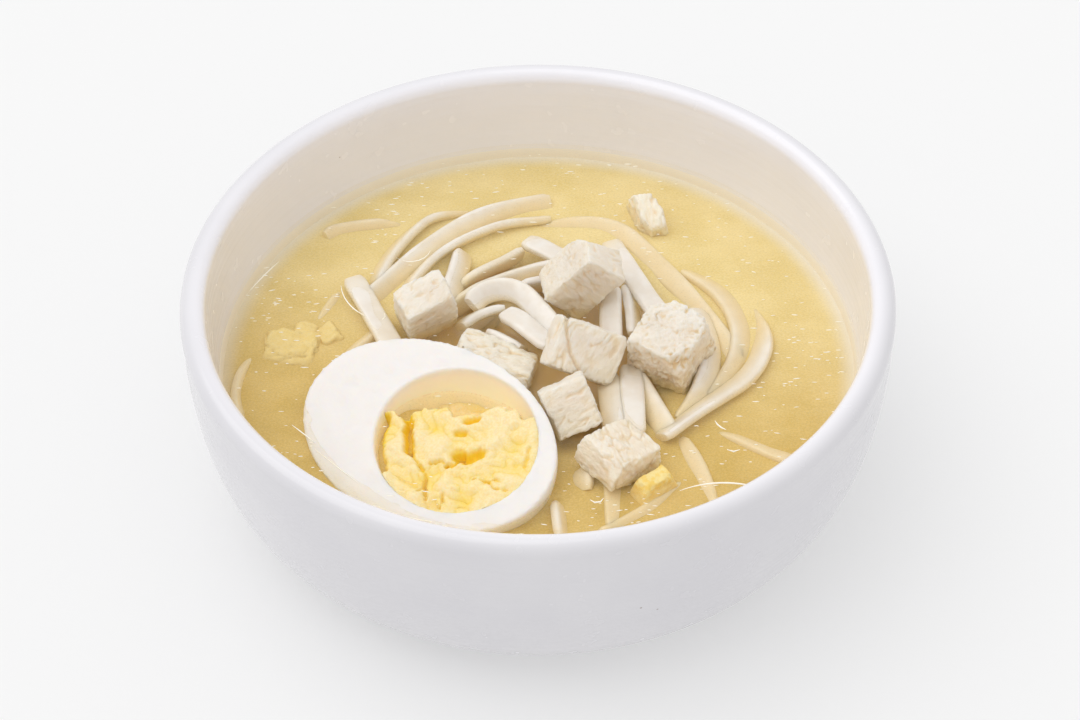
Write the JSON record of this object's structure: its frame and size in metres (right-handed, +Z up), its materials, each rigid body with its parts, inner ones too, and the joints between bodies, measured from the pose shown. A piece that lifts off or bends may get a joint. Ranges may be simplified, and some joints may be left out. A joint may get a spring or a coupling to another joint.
{
  "type": "chicken noodle soup in a bowl",
  "caption": "Round stoneware bowl of golden broth with flat noodles, chunks of boiled chicken and half a boiled egg.",
  "frame": {"origin": "centre of the bowl's foot ring, on the surface that it stands on", "axes": "+Z up out of the bowl, +X to the right and +Y to the back, with the egg at the front left"},
  "size_m": [0.15, 0.15, 0.05],
  "materials": {
    "stoneware": "smooth satin white glaze",
    "broth": "wet, slightly cloudy golden broth",
    "noodle": "smooth moist boiled wheat dough",
    "egg_white": "smooth moist egg white",
    "egg_yolk": "dry crumbly boiled yolk",
    "chicken": "fibrous moist boiled breast meat"
  },
  "bodies": {
    "root": {"bowl": "stoneware", "broth": "broth", "noodles": "noodle", "egg_white": "egg_white", "egg_yolk": "egg_yolk", "yolk_crumb": "egg_yolk", "chicken_1": "chicken", "chicken_2": "chicken", "chicken_3": "chicken", "chicken_4": "chicken", "chicken_5": "chicken", "chicken_6": "chicken", "chicken_7": "chicken", "chicken_8": "chicken"}
  },
  "joints": []
}
